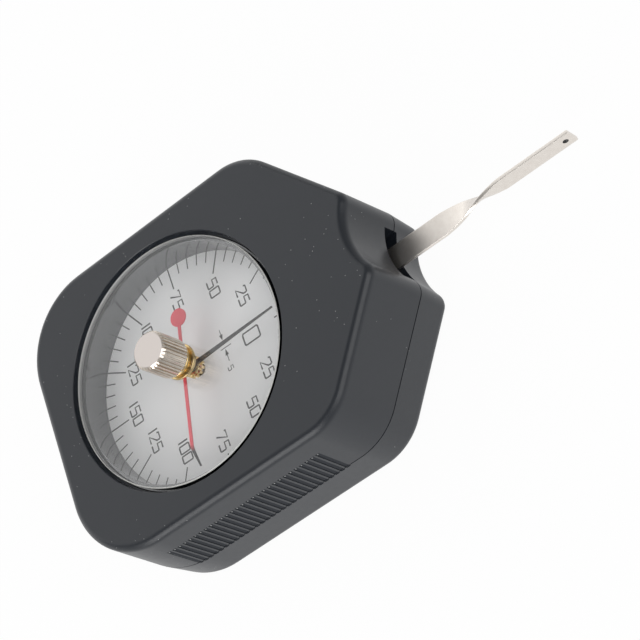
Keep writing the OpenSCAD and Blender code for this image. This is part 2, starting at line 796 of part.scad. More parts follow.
module lever_bushes() {
    color([0.78, 0.6, 0.28])
    translate([0, pivot_y, 0])
        for (z = [rear_plate_z, front_plate_z])
            difference() {
                rod(2.2, z, z + plate_t);
                rod(lever_pivot_r + run_play, z - 1, z + plate_t + 1);
            }
}

module arbor_bushes() {
    color([0.78, 0.6, 0.28])
    for (b = [[rear_plate_z, arbor_pivot_r], [front_plate_z, arbor_r]])
        difference() {
            rod(1.6, b[0], b[0] + plate_t);
            rod(b[1] + run_play, b[0] - 1, b[0] + plate_t + 1);
        }
}

module stop_pins() {
    color([0.7, 0.7, 0.72])
    for (s = [-1, 1]) translate([s * stop_dist * sin(stop_angle), pivot_y - stop_dist * cos(stop_angle), 0])
        union() {
            rod(stop_r - 0.4, rear_plate_z, front_plate_top);
            rod(stop_r, rear_plate_top, front_plate_z);
        }
}

front_housing();
rear_housing();
case_screws();
crystal();
dial_ring();
dial_plate();
reset_knob();
knob_spindle();
spindle_bush();
friction_washer();
peak_pointer_hub();
peak_pointer();
pointer();
pointer_hub();
pointer_arbor();
pinion();
hairspring();
hairspring_collet();
hairspring_stud();
lever();
lever_hub();
lever_arbor();
sector_gear();
lever_screws();
main_spring();
spring_collet();
spring_stud();
front_plate();
rear_plate();
plate_pillars();
plate_screws();
movement_screws();
lever_bushes();
arbor_bushes();
stop_pins();
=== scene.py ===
# %% [markdown]
# # Dial tension gauge
# A hand gauge for small pulling forces. A strip with a quarter twist swings in the mouth of a flat
# moulded case, gears inside turn a black needle over a round scale, and a red needle, set by the
# knurled knob in front of the crystal, marks the highest reading.
#
# The lesson builds what the eye sees, piece by piece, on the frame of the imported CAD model.

# %% Load the frame
import json
import math

import bmesh
import bpy
from mathutils import Matrix, Vector


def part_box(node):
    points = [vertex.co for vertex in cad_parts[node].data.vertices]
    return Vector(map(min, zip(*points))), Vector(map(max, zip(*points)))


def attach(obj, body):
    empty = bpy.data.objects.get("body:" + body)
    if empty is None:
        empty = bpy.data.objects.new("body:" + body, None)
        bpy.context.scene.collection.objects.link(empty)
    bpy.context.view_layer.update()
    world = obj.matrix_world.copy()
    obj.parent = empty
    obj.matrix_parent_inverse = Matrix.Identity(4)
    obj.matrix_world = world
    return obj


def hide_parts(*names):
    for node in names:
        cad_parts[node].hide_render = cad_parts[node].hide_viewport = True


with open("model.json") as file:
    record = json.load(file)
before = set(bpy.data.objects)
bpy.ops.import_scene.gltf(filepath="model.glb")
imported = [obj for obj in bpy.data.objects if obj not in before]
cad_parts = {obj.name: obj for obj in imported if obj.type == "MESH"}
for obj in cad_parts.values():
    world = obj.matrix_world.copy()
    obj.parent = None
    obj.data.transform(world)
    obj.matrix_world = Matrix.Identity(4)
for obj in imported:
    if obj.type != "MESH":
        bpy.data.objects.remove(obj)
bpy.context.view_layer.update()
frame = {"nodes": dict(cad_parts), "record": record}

# %% [markdown]
# ## Sizes
# Millimetres, in the frame of the CAD model: the origin lies on the rear face under the dial axis,
# +Z comes out of the dial and +Y points to the tip of the lever. Heights that a CAD node already
# carries are read from its box, so that the pieces sit where the frame has them.

# %% Sizes
MM = 0.001


def low(node):
    """Height of the underside of a CAD node."""
    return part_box(node)[0][2] / MM


def high(node):
    """Height of the top of a CAD node."""
    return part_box(node)[1][2] / MM


CASE_HALF, CASE_BOTTOM = 30.45, 32.1
SHOULDER_DIST, SHOULDER_ANGLE, SHOULDER_R = 40.7, math.radians(51.4), 12.6
BOTTOM_R, HORN_R, NOTCH_R, NOTCH_Y = 16.5, 3.1, 12.9, 55.9
DRAFT, PART_BEVEL, PART_GAP, FRONT_ROUND, REAR_ROUND = 0.4, 0.12, 0.08, 1.5, 2.35
EDGE_FLAT, EDGE_BAND, GAP_DEPTH, GAP_STEP = 0.15, 0.06, 0.9, 0.02
WALL, FRONT_WALL, REAR_WALL, OPEN_BREAK, FRONT_BOSS_R, REAR_BOSS_R = 2.6, 2.2, 2.0, 0.12, 3.3, 3.5
PART_Z, FRONT_Z = high("rear_housing"), high("front_housing")
BORE_R, OPEN_R, COLLAR_R, LEDGE_R, RING_R = 24.65, 25.05, 26.4, 21.5, 23.3
CRYSTAL_R, CRYSTAL_BEVEL, CRYSTAL_HOLE_R, SEAT_R, DIAL_HOLE_R = 24.25, 0.2, 1.94, 24.5, 1.2
GRIP_LEN, GRIP_FOOT, GRIP_W, GRIP_DEPTH, GRIP_STEP, GRIP_Y = 9.3, 0.45, 0.88, 0.14, 1.3, 0.25
GRIP_SIDE, GRIP_HALF, PIP_R, PIP_INSET = 14, 18.7, 0.3, 0.3
LEDGE_Z, DIAL_Z = low("dial_plate"), high("dial_plate")
CRYSTAL_Z, GLASS_Z = low("crystal"), high("crystal")
CASE_SCREWS = [(-22, -23), (22, -23), (-21, 25.5), (21, 25.5)]
POSTS = [(-13, 15.5), (13, 15.5), (0, -9)]
SCREW_R, SCREW_BORE_R, SCREW_HEAD_R, HEAD_Z, POST_R, POST_BORE_R = 1.27, 1.3, 2.7, 2.4, 2.6, 1.02
MOUTH_SIZE, MOUTH_AT = (11, 16, 3.8), (0, 45.15, 11.1)
STRIP_Z, EYE_Y, EYE_R = 10.79, 82.0, 0.55
print("parting line", round(PART_Z, 2), "front face", round(FRONT_Z, 2), "dial", round(DIAL_Z, 2))

# %% [markdown]
# ## Tools for shaping
# Small helpers do the work of a shop: rods and blocks from the rack, a lathe that spins a profile
# about the dial axis, a file that eases sharp edges, a vice that turns, slides and divides a body, a
# cutter that takes one body out of another, and a last step that brings a finished body into the
# frame, gives it its finish and tells which moving body carries it.

# %% Tools for shaping
def rod(bm, radius, bottom, top, at=(0, 0), segments=64):
    """Stand a cylinder between two heights."""
    place = Matrix.Translation((*at, (bottom + top) / 2))
    bmesh.ops.create_cone(bm, cap_ends=True, segments=segments, radius1=radius, radius2=radius,
                          depth=top - bottom, matrix=place)


def block(bm, size, centre):
    """Place a box of that size about a centre."""
    place = Matrix.Translation(centre) @ Matrix.Diagonal((*size, 1))
    bmesh.ops.create_cube(bm, size=1, matrix=place)


def turned(profile, steps=128):
    """Spin a closed profile of (radius, height) corners about the dial axis."""
    bm = bmesh.new()
    corners = [bm.verts.new((radius, 0, height)) for radius, height in profile]
    edges = [bm.edges.new(pair) for pair in zip(corners, corners[1:] + corners[:1])]
    bmesh.ops.spin(bm, geom=corners + edges, cent=(0, 0, 0), axis=(0, 0, 1), angle=2 * math.pi,
                   steps=steps, use_merge=True, use_duplicate=False)
    bmesh.ops.remove_doubles(bm, verts=bm.verts, dist=1e-4)
    bmesh.ops.dissolve_degenerate(bm, dist=1e-5, edges=bm.edges)
    bmesh.ops.recalc_face_normals(bm, faces=bm.faces)
    return bm


def ease(bm, offset, segments=2, angle=40):
    """Round every edge sharper than the angle."""
    inner = [e for e in bm.edges if len(e.link_faces) == 2]
    sharp = [e for e in inner if e.calc_face_angle() > math.radians(angle)]
    bmesh.ops.bevel(bm, geom=sharp, offset=offset, offset_type="OFFSET", segments=segments, profile=0.5,
                    affect="EDGES", clamp_overlap=True, material=-1)
    return bm


def everything(bm):
    """All corners, edges and faces of a body."""
    return bm.verts[:] + bm.edges[:] + bm.faces[:]


def swing(bm, angle, axis="Z"):
    """Turn a body about an axis through the origin."""
    bmesh.ops.rotate(bm, verts=bm.verts, cent=(0, 0, 0), matrix=Matrix.Rotation(angle, 3, axis))


def slide(bm, x, y, z):
    """Move a body."""
    bmesh.ops.translate(bm, verts=bm.verts, vec=(x, y, z))


def divide(bm, y):
    """Cut a body into two sections at that length, without parting them."""
    bmesh.ops.bisect_plane(bm, geom=everything(bm), plane_co=(0, y, 0), plane_no=(0, 1, 0))


def thicken(bm, faces, height):
    """Raise a flat face into a block."""
    raised = bmesh.ops.extrude_face_region(bm, geom=faces, use_keep_orig=True)["geom"]
    corners = [v for v in raised if isinstance(v, bmesh.types.BMVert)]
    bmesh.ops.translate(bm, verts=corners, vec=(0, 0, height))
    bmesh.ops.recalc_face_normals(bm, faces=bm.faces)


def placed(name, data):
    """Put an object made of that data into the scene."""
    obj = bpy.data.objects.new(name, data)
    bpy.context.scene.collection.objects.link(obj)
    return obj


def loose(name, bm):
    """Turn a body into an object."""
    mesh = bpy.data.meshes.new(name)
    bm.to_mesh(mesh)
    bm.free()
    return placed(name, mesh)


def cut(body, tool, operation="DIFFERENCE"):
    """Take the tool out of the body, or join or keep what both share."""
    target, cutter = loose("target", body), loose("cutter", tool)
    step = target.modifiers.new("cut", "BOOLEAN")
    step.object, step.operation, step.solver = cutter, operation, "EXACT"
    result = bmesh.new()
    result.from_object(target, bpy.context.evaluated_depsgraph_get())
    for obj in (target, cutter):
        mesh = obj.data
        bpy.data.objects.remove(obj)
        bpy.data.meshes.remove(mesh)
    return result


def piece(name, bm, body, coat, nodes=(), sharp=32):
    """Bring a body drawn in millimetres into the frame as a finished piece."""
    volume = bm.calc_volume(signed=True)
    open_edges = sum(len(e.link_faces) != 2 for e in bm.edges)
    bmesh.ops.scale(bm, vec=(MM, MM, MM), verts=bm.verts)
    obj = loose(name, bm)
    obj.data.shade_smooth()
    obj.data.set_sharp_from_angle(angle=math.radians(sharp))
    level = obj.modifiers.new("flat faces stay flat", "WEIGHTED_NORMAL")
    level.keep_sharp, level.weight = True, 60
    obj.data.materials.append(coat)
    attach(obj, body)
    if nodes:
        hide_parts(*nodes)
    print(name, "rides on", body, "with", len(obj.data.polygons), "faces,", round(volume, 2), "mm3,",
          open_edges, "open edges")


print("shaping tools ready, one unit is", MM, "m")

# %% [markdown]
# ## Tools for shading
# A finish is a small graph of nodes. `Wire` is one output of that graph and takes part in ordinary
# sums, so that roughness or a mask can be written as a formula. `Finish` holds the graph and adds
# any node from its type, its settings and its sockets.

# %% Tools for shading
class Wire:
    """An output of a shader graph that can be added, multiplied and compared."""

    def __init__(self, finish, socket):
        self.finish, self.socket = finish, socket

    def __add__(self, other):
        return self.finish.maths("ADD", self, other)

    def __radd__(self, other):
        return self.finish.maths("ADD", other, self)

    def __sub__(self, other):
        return self.finish.maths("SUBTRACT", self, other)

    def __rsub__(self, other):
        return self.finish.maths("SUBTRACT", other, self)

    def __mul__(self, other):
        return self.finish.maths("MULTIPLY", self, other)

    def __rmul__(self, other):
        return self.finish.maths("MULTIPLY", other, self)

    def __truediv__(self, other):
        return self.finish.maths("DIVIDE", self, other)

    def __rtruediv__(self, other):
        return self.finish.maths("DIVIDE", other, self)

    def __gt__(self, other):
        return self.finish.maths("GREATER_THAN", self, other)

    def __lt__(self, other):
        return self.finish.maths("LESS_THAN", self, other)


class Finish:
    """The shader graph of a material or of the world."""

    def __init__(self, holder):
        self.holder = holder
        holder.use_nodes = True
        self.tree = holder.node_tree
        self.tree.nodes.clear()

    def add(self, kind, settings=None, inputs=None, output=0):
        """Add a node: its type, its settings, its socket values or links, and the output wanted."""
        node = self.tree.nodes.new(kind)
        for key, value in (settings or {}).items():
            setattr(node, key, value)
        for key, value in (inputs or {}).items():
            if isinstance(value, Wire):
                self.tree.links.new(value.socket, node.inputs[key])
            else:
                node.inputs[key].default_value = value
        return Wire(self, node.outputs[output]) if node.outputs else None

    def maths(self, operation, *values):
        """One step of arithmetic."""
        return self.add("ShaderNodeMath", {"operation": operation}, dict(enumerate(values)))

    def mix(self, factor, first, second):
        """Blend two colours."""
        return self.add("ShaderNodeMix", {"data_type": "RGBA"}, {0: factor, 6: first, 7: second}, 2)

    def place(self):
        """Position on the piece, in metres."""
        return self.add("ShaderNodeTexCoord", output="Object")

    def coordinate(self, axis):
        """One coordinate of that position."""
        return self.add("ShaderNodeSeparateXYZ", inputs={"Vector": self.place()}, output=axis)

    def noise(self, scale, detail=2.0):
        """Soft noise between 0 and 1."""
        return self.add("ShaderNodeTexNoise",
                        inputs={"Vector": self.place(), "Scale": scale, "Detail": detail})

    def bump(self, height, distance):
        """A skin that is pushed out where the height is large."""
        return self.add("ShaderNodeBump", inputs={"Height": height, "Distance": distance})

    def surface(self, shader, kind="ShaderNodeOutputMaterial"):
        """Close the graph and hand back what holds it."""
        self.add(kind, inputs={"Surface": shader})
        return self.holder

    def principled(self, **inputs):
        """The main shader; an underscore stands for the space in a socket's name."""
        named = {key.replace("_", " "): value for key, value in inputs.items()}
        return self.add("ShaderNodeBsdfPrincipled", inputs=named)


def grey(value, tint=(1, 1, 1)):
    """A grey, or a tinted one."""
    return (value * tint[0], value * tint[1], value * tint[2], 1)


def finish(name):
    """Start the graph of a new material."""
    return Finish(bpy.data.materials.new(name))


print("shading tools ready")

# %% [markdown]
# ## Finishes
# The case is black plastic from an etched mould: nearly no colour of its own, so that its grey is
# the white room mirrored in a dull skin, stronger where the skin is seen at a low angle. A fine
# grain and a few bright dust specks keep it from being even. The floors of the grip grooves, told
# by how far they lie behind the leaning wall, are duller, as the cutter left them in the mould, and
# the pips at their upper ends are painted pale, a painted highlight.

# %% Case plastic
case = finish("etched black plastic")
tone = case.noise(160)
cells = case.place()
dust, chance = (case.add("ShaderNodeTexVoronoi", inputs={"Vector": cells, "Scale": 900.0}, output=kind)
                for kind in ("Distance", "Color"))
picked = case.add("ShaderNodeSeparateColor", inputs={"Color": chance}, output="Red")
speck = (dust < 0.075) * (picked > 0.4) * (case.noise(60) > 0.5)
colour = case.mix(tone, (0.0095, 0.0125, 0.018, 1), (0.0115, 0.015, 0.021, 1))
colour = case.mix(speck * 0.6, colour, grey(0.5))
grain = case.bump(case.noise(4200, 3), 9e-6)
across, along, above = case.coordinate("X"), case.coordinate("Y"), case.coordinate("Z") - PART_Z * MM
lean = DRAFT / (FRONT_Z - PART_Z - FRONT_ROUND)
corner = case.maths("MINIMUM", along + (CASE_BOTTOM - BOTTOM_R) * MM, 0.0)
sunk = CASE_HALF * MM - case.maths("ABSOLUTE", across) - lean * case.maths("ABSOLUTE", above)
sunk = sunk - corner * corner / (2 * BOTTOM_R * MM)
SUNK_MAX, FLOOR_TOP, FLOOR_FOOT, PIP_HIGHLIGHT_SQUARE = 0.0006, 0.00935, -0.0005, 1.8e-8
floor_mask = (sunk > 0.7 * GRIP_DEPTH * MM) * (sunk < SUNK_MAX) * (above < FLOOR_TOP) * (above > FLOOR_FOOT)
in_grip = case.maths("ABSOLUTE", along - GRIP_Y * MM) < GRIP_HALF * MM
floor_mask = floor_mask * in_grip
gloss = 0.34 + 0.08 * case.noise(900) + 0.45 * floor_mask
row = case.maths("FRACT", (along - GRIP_Y * MM) / (GRIP_STEP * MM) + 0.5) - 0.5
beside = row * GRIP_STEP * MM
level = above - (GRIP_LEN - PIP_INSET) * MM
# The pale dot on each pip is a painted highlight.
pip_highlight_mask = (beside * beside + level * level < PIP_HIGHLIGHT_SQUARE) * (sunk > -0.0002) * (sunk < SUNK_MAX)
colour = case.mix(pip_highlight_mask * in_grip * 0.5, colour, grey(0.5))
case_plastic = case.surface(case.principled(Base_Color=colour, Roughness=gloss, IOR=1.53, Normal=grain))
print("case plastic:", len(case.tree.nodes), "nodes")

# %% [markdown]
# The crystal is clear acrylic. It bends the view of the dial as a real plate does, and it lets the
# light of the lamps through to the dial. Its small bevel is frosted, and its sawn edge scatters the
# light that runs inside the plate, so that it shows as a pale rim when it is seen from within. The
# frost is painted darker towards the back of the plate, a painted shade. The ring under it is glossy
# grey plastic, which mirrors the scale. The dial is pale satin paint and its print is dark ink.

# %% Crystal, ring and dial
clear = finish("clear acrylic")
tint = clear.mix(clear.noise(90), grey(0.97, (0.995, 1, 1)), grey(1.0))
glass = clear.principled(Base_Color=tint, Roughness=0.0, IOR=1.49, Transmission_Weight=1.0)
passing = clear.maths("MAXIMUM", clear.add("ShaderNodeLightPath", output="Is Shadow Ray"),
                      clear.add("ShaderNodeLightPath", output="Is Diffuse Ray"))
veil = clear.add("ShaderNodeBsdfTransparent", inputs={"Color": grey(0.98)})
pane = clear.add("ShaderNodeMixShader", inputs={0: passing, 1: glass, 2: veil})
off_x, off_y = clear.coordinate("X"), clear.coordinate("Y")
depth = GLASS_Z * MM - clear.coordinate("Z")
sawn = clear.maths("SQRT", off_x * off_x + off_y * off_y) > (CRYSTAL_R - CRYSTAL_BEVEL + 0.01) * MM
within = clear.add("ShaderNodeNewGeometry", output="Backfacing")
shown = clear.maths("MAXIMUM", within, depth < CRYSTAL_BEVEL * MM) * sawn * (1.0 - passing)
# The frost is painted darker towards the back of the plate: a painted shade.
colour = clear.mix(depth / 0.0016, grey(0.72, (1, 1, 0.96)), grey(0.25))
frost = clear.principled(Base_Color=colour, Roughness=0.5)
acrylic = clear.surface(clear.add("ShaderNodeMixShader", inputs={0: shown, 1: pane, 2: frost}))

wall = finish("glossy grey plastic")
colour = wall.mix(wall.noise(220), grey(0.045, (0.92, 1, 1.1)), grey(0.055, (0.92, 1, 1.1)))
gloss = 0.01 + 0.01 * wall.noise(600)
ring_grey = wall.surface(wall.principled(Base_Color=colour, Roughness=gloss, IOR=2.1))

paper = finish("pale satin paint")
colour = paper.mix(paper.noise(130), grey(0.8, (0.99, 0.995, 1)), grey(0.84, (0.99, 0.995, 1)))
gloss = 0.4 + 0.1 * paper.noise(900)
dial_paint = paper.surface(paper.principled(Base_Color=colour, Roughness=gloss))

ink = finish("dark printing ink")
colour = ink.mix(ink.noise(900), grey(0.02), grey(0.045))
dial_ink = ink.surface(ink.principled(Base_Color=colour, Roughness=0.5))
print("crystal, ring, dial and ink finishes made")

# %% [markdown]
# Metals: the knob and the lever are nickel plated with a warm tint. The faced end of the knob is a
# little darker than its knurl. The wall of the lever's eye is painted dark, a painted shade inside
# the hole. Hubs and gears are turned brass, shafts are steel, the springs are blued.

# %% Metals
def metal(name, first, second, rough, spread, scale=900, grain=2e-6, patch=None, patch_colour=None):
    """A plated or turned metal whose tone, gloss and skin vary, with a patch of another tone if asked."""
    made = finish(name)
    streak = made.noise(scale, 3)
    colour = made.mix(made.noise(scale * 0.4), first, second)
    if patch:
        colour = made.mix(patch(made), colour, patch_colour)
    gloss = rough + spread * streak
    skin = made.bump(streak, grain)
    return made.surface(made.principled(Base_Color=colour, Metallic=1.0, Roughness=gloss, Normal=skin))


def faced_end(made):
    """The flat end of the knob."""
    return made.coordinate("Z") > (high("reset_knob") - 0.02) * MM


def shaded_eye_wall(made):
    """The wall of the eye near the tip of the lever, painted dark as a painted shade inside the hole."""
    y, z = made.coordinate("Y") - EYE_Y * MM, made.coordinate("Z") - STRIP_Z * MM
    return made.maths("SQRT", y * y + z * z) < (EYE_R + 0.03) * MM


knob_nickel = metal("satin nickel", (0.78, 0.71, 0.63, 1), (0.86, 0.79, 0.71, 1), 0.17, 0.1, grain=4e-7,
                    patch=faced_end, patch_colour=(0.6, 0.55, 0.52, 1))
# The dark patch on the wall of the lever's eye is a painted shade.
lever_nickel = metal("grained nickel", (0.7, 0.65, 0.6, 1), (0.8, 0.76, 0.71, 1), 0.26, 0.16, scale=2600,
                     grain=1.6e-6, patch=shaded_eye_wall, patch_colour=grey(0.12))
brass = metal("turned brass", grey(0.74, (1, 0.76, 0.38)), grey(0.86, (1, 0.78, 0.42)), 0.14, 0.12)
steel = metal("turned steel", grey(0.5), grey(0.6), 0.25, 0.15)
blued = metal("blued spring steel", grey(0.2, (0.8, 1, 1.6)), grey(0.26, (0.8, 1, 1.6)), 0.25, 0.15)
oxide = metal("black oxide", grey(0.06), grey(0.09), 0.4, 0.15)
print("six metals made")

# %% [markdown]
# Paint: the dial needle is satin black. The peak needle is red, and the paint fades to the dark of
# its bent end.

# %% Needle paints
black = finish("satin black paint")
colour = black.mix(black.noise(700), grey(0.012), grey(0.024))
needle_black = black.surface(black.principled(Base_Color=colour, Roughness=0.4))

red = finish("satin red paint")
off_x, off_y = red.coordinate("X"), red.coordinate("Y")
reach = red.maths("SQRT", off_x * off_x + off_y * off_y)
coat = red.mix(red.noise(700), (0.68, 0.05, 0.075, 1), (0.78, 0.065, 0.1, 1))
FADE_FROM, FADE_LENGTH = 0.0163, 0.0012
fade = red.maths("MAXIMUM", red.maths("MINIMUM", (reach - FADE_FROM) / FADE_LENGTH, 1.0), 0.0)
colour = red.mix(fade, coat, grey(0.03))
needle_red = red.surface(red.principled(Base_Color=colour, Roughness=0.4))
print("needle paints made")

# %% [markdown]
# ## Case halves
# Each half is a moulded tub. Its outline is a run of arcs: round corners at the bottom, flat
# shoulders, two small horns and the hollow that the lever comes out of. The outline is swept arc by
# arc, filled, and then inset again and again while it rises, which leans the walls as a mould needs
# and rounds the front edge.

# %% Case outline
def outline_arcs(inset):
    """Centre, radius, start angle and end angle of each arc of the case outline, moved inwards."""
    a = SHOULDER_ANGLE
    out, along = Vector((math.cos(a), math.sin(a))), Vector((-math.sin(a), math.cos(a)))
    bottom = Vector((CASE_HALF - BOTTOM_R, BOTTOM_R - CASE_BOTTOM))
    side = CASE_HALF - SHOULDER_R
    shoulder = Vector((side, (SHOULDER_DIST - SHOULDER_R - out.x * side) / out.y))
    start = out * (SHOULDER_DIST - HORN_R)
    gap = Vector((0, NOTCH_Y)) - start
    step = gap.dot(along) - math.sqrt((NOTCH_R + HORN_R) ** 2 - gap.dot(out) ** 2)
    horn = start + along * step
    end = math.atan2(NOTCH_Y - horn.y, -horn.x)
    right = [(bottom, BOTTOM_R - inset, -math.pi / 2, 0.0, 24), (shoulder, SHOULDER_R - inset, 0.0, a, 16),
             (horn, HORN_R - inset, a, end, 14)]
    hollow = [(Vector((0, NOTCH_Y)), NOTCH_R + inset, end - math.pi, -end, 28)]
    left = [(Vector((-c.x, c.y)), r, math.pi - a1, math.pi - a0, n) for c, r, a0, a1, n in reversed(right)]
    return right + hollow + left


def fill(bm, edges, facing):
    """Close a loop of edges with a face that looks up (1) or down (-1)."""
    face = bmesh.ops.contextual_create(bm, geom=edges)["faces"][0]
    face.normal_update()
    if face.normal.z * facing < 0:
        face.normal_flip()
    return face


def outline_face(bm, inset, height):
    """Sweep the outline's arcs, close the loop and fill it with a face that looks up."""
    ends = []
    for centre, radius, first, last, steps in outline_arcs(inset):
        x, y = centre.x + radius * math.cos(first), centre.y + radius * math.sin(first)
        spot = bm.verts.new((x, y, height))
        swept = bmesh.ops.spin(bm, geom=[spot], cent=(centre.x, centre.y, height), axis=(0, 0, 1),
                               angle=last - first, steps=steps, use_duplicate=False)
        ends.append((spot, swept["geom_last"][0]))
    for (_, stop), (go, _) in zip(ends, ends[1:] + ends[:1]):
        bm.edges.new((stop, go))
    bmesh.ops.remove_doubles(bm, verts=bm.verts, dist=0.002)
    return fill(bm, bm.edges[:], 1)


def step_in(bm, face, inwards, upwards):
    """Inset a face and move it along its normal."""
    bmesh.ops.inset_region(bm, faces=[face], thickness=inwards, depth=upwards, use_even_offset=True,
                           use_boundary=True)


def tub(height, rounding):
    """A solid of the case outline that leans in by the draft and ends in a rounded chamfer."""
    bm = bmesh.new()
    face = outline_face(bm, 0, PART_BEVEL)
    rise = height - PART_BEVEL - rounding
    for share in (0.03, 0.94, 0.03):
        step_in(bm, face, DRAFT * share, rise * share)
    flat = EDGE_FLAT * rounding
    radius = rounding - flat
    turns = [math.pi / 16 * i for i in range(9)]
    for a0, a1 in zip(turns, turns[1:]):
        step_in(bm, face, radius * (math.cos(a0) - math.cos(a1)), radius * (math.sin(a1) - math.sin(a0)))
        if a1 == math.pi / 4:
            step_in(bm, face, flat, flat)
    step_in(bm, face, EDGE_BAND, 0)
    foot = fill(bm, [e for e in bm.edges if e.is_boundary], -1)
    step_in(bm, foot, PART_BEVEL, PART_BEVEL - PART_GAP)
    step_in(bm, foot, GAP_DEPTH, 0)
    step_in(bm, foot, GAP_STEP, PART_GAP)
    bmesh.ops.recalc_face_normals(bm, faces=bm.faces)
    return bm


def prism(inset, bottom, top):
    """A straight block of the case outline."""
    bm = bmesh.new()
    face = outline_face(bm, inset, bottom)
    thicken(bm, [face], top - bottom)
    return bm


def rods(spots, radius, bottom, top):
    """The same rod at several places."""
    bm = bmesh.new()
    for spot in spots:
        rod(bm, radius, bottom, top, spot, segments=40)
    return bm


def mouth():
    """The slot that the lever swings in, half in each half of the case."""
    bm = bmesh.new()
    block(bm, MOUTH_SIZE, MOUTH_AT)
    return bm


print("outline arcs:", len(outline_arcs(0)))

# %% [markdown]
# The grip is a row of shallow grooves along each long side, which run straight down past the parting
# line so that the mould can open. Each ends in a small round pip at its upper end. One groove cutter,
# with the pip left out of it, is leaned like the wall and repeated.

# %% Grip cutters
def grip_cutters():
    """Two rows of leaned groove cutters."""
    groove, pip = bmesh.new(), bmesh.new()
    lean = math.atan(DRAFT / (FRONT_Z - PART_Z - FRONT_ROUND))
    block(groove, (2, GRIP_W, GRIP_LEN + GRIP_FOOT), (1 - GRIP_DEPTH, 0, (GRIP_LEN - GRIP_FOOT) / 2))
    bmesh.ops.create_icosphere(pip, subdivisions=3, radius=PIP_R,
                               matrix=Matrix.Translation((-0.24, 0, GRIP_LEN - PIP_INSET)))
    bm = cut(groove, pip)
    swing(bm, -lean, "Y")
    rows = [GRIP_Y + GRIP_STEP * i for i in range(-GRIP_SIDE, GRIP_SIDE + 1)]
    walls = [CASE_HALF - min(0.0, y + CASE_BOTTOM - BOTTOM_R) ** 2 / (2 * BOTTOM_R) for y in rows]
    slide(bm, walls[0], rows[0], PART_Z)
    last = everything(bm)
    for before, after in zip(walls, walls[1:]):
        last = bmesh.ops.duplicate(bm, geom=last)["geom"]
        bmesh.ops.translate(bm, verts=[v for v in last if isinstance(v, bmesh.types.BMVert)],
                            vec=(after - before, GRIP_STEP, 0))
    bmesh.ops.mirror(bm, geom=everything(bm), axis="X", merge_dist=0)
    bmesh.ops.recalc_face_normals(bm, faces=bm.faces)
    return bm


print("grooves on each side:", 2 * GRIP_SIDE + 1)

# %% [markdown]
# The front half is hollowed behind its face, but keeps a collar round the opening and four bosses
# for the case screws. The opening is bored in steps: a ledge for the dial, a seat for the ring and a
# wider mouth with a broken edge for the crystal. The slot of the lever and the grip come last.

# %% Front half
shell = tub(FRONT_Z - PART_Z, FRONT_ROUND)
slide(shell, 0, 0, PART_Z)
hollow = prism(WALL, PART_Z - 1, FRONT_Z - FRONT_WALL)
hollow = cut(hollow, rods([(0, 0)], COLLAR_R, LEDGE_Z - 1, FRONT_Z))
hollow = cut(hollow, rods(CASE_SCREWS, FRONT_BOSS_R, PART_Z - 2, FRONT_Z))
shell = cut(shell, hollow)
bore = turned([(0, LEDGE_Z - 3), (LEDGE_R, LEDGE_Z - 3), (LEDGE_R, LEDGE_Z), (BORE_R, LEDGE_Z),
               (BORE_R, CRYSTAL_Z + 0.1), (OPEN_R, CRYSTAL_Z + 0.1), (OPEN_R, FRONT_Z - OPEN_BREAK),
               (OPEN_R + OPEN_BREAK, FRONT_Z), (OPEN_R + OPEN_BREAK + 0.5, FRONT_Z + 0.5), (0, FRONT_Z + 0.5)])
shell = cut(shell, bore)
shell = cut(shell, rods(CASE_SCREWS, SCREW_R, PART_Z - 1, FRONT_Z - FRONT_WALL - 3))
shell = cut(shell, mouth())
shell = cut(shell, grip_cutters())
piece("front_shell", shell, "case", case_plastic, ["front_housing"])

# %% [markdown]
# The rear half is the same tub turned over, with posts for the movement and sunk places for the
# heads of the four case screws.

# %% Rear half
shell = tub(PART_Z, REAR_ROUND)
bmesh.ops.scale(shell, vec=(1, 1, -1), verts=shell.verts)
slide(shell, 0, 0, PART_Z)
bmesh.ops.recalc_face_normals(shell, faces=shell.faces)
hollow = prism(WALL, REAR_WALL, PART_Z + 1)
hollow = cut(hollow, rods(CASE_SCREWS, REAR_BOSS_R, 0, PART_Z + 2))
hollow = cut(hollow, rods(POSTS, POST_R, 0, low("rear_plate")))
shell = cut(shell, hollow)
shell = cut(shell, rods(CASE_SCREWS, SCREW_BORE_R, -1, PART_Z + 1))
shell = cut(shell, rods(CASE_SCREWS, SCREW_HEAD_R, -1, HEAD_Z))
shell = cut(shell, rods(POSTS, POST_BORE_R, REAR_WALL - 0.8, low("rear_plate") + 1))
shell = cut(shell, mouth())
shell = cut(shell, grip_cutters())
piece("rear_shell", shell, "case", case_plastic, ["rear_housing"])

# %% [markdown]
# ## Crystal, ring and dial plate
# Three turned discs drop into the bore of the front half one after the other: the dial plate on its
# ledge, the ring on the dial, the crystal on the ring. The crystal has a bevel that catches light.

# %% Crystal, ring and dial plate
disc = turned([(CRYSTAL_HOLE_R, CRYSTAL_Z), (CRYSTAL_R, CRYSTAL_Z), (CRYSTAL_R, GLASS_Z - CRYSTAL_BEVEL),
               (CRYSTAL_R - CRYSTAL_BEVEL, GLASS_Z), (CRYSTAL_HOLE_R, GLASS_Z)])
piece("crystal_disc", ease(disc, 0.02, 1), "case", acrylic, ["crystal"], 10)
ring_low, ring_high = DIAL_Z + 0.01, CRYSTAL_Z - 0.01
ring = turned([(RING_R, ring_low), (SEAT_R, ring_low), (SEAT_R, ring_high), (RING_R, ring_high)])
piece("dial_wall_ring", ease(ring, 0.06), "case", ring_grey, ["dial_ring"], 10)
plate = turned([(DIAL_HOLE_R, LEDGE_Z), (SEAT_R, LEDGE_Z), (SEAT_R, DIAL_Z), (DIAL_HOLE_R, DIAL_Z)])
piece("dial_face", ease(plate, 0.04), "case", dial_paint, ["dial_plate"], 10)

# %% [markdown]
# ## Dial print
# Sixty strokes, a long one at each fifth, and plain numbers from zero outwards on both sides. A
# small sign with two arrows shows the value of one division. Each stroke is a curve with a thin
# round section, turned into a mesh and pressed flat, which gives ink that has a little height.

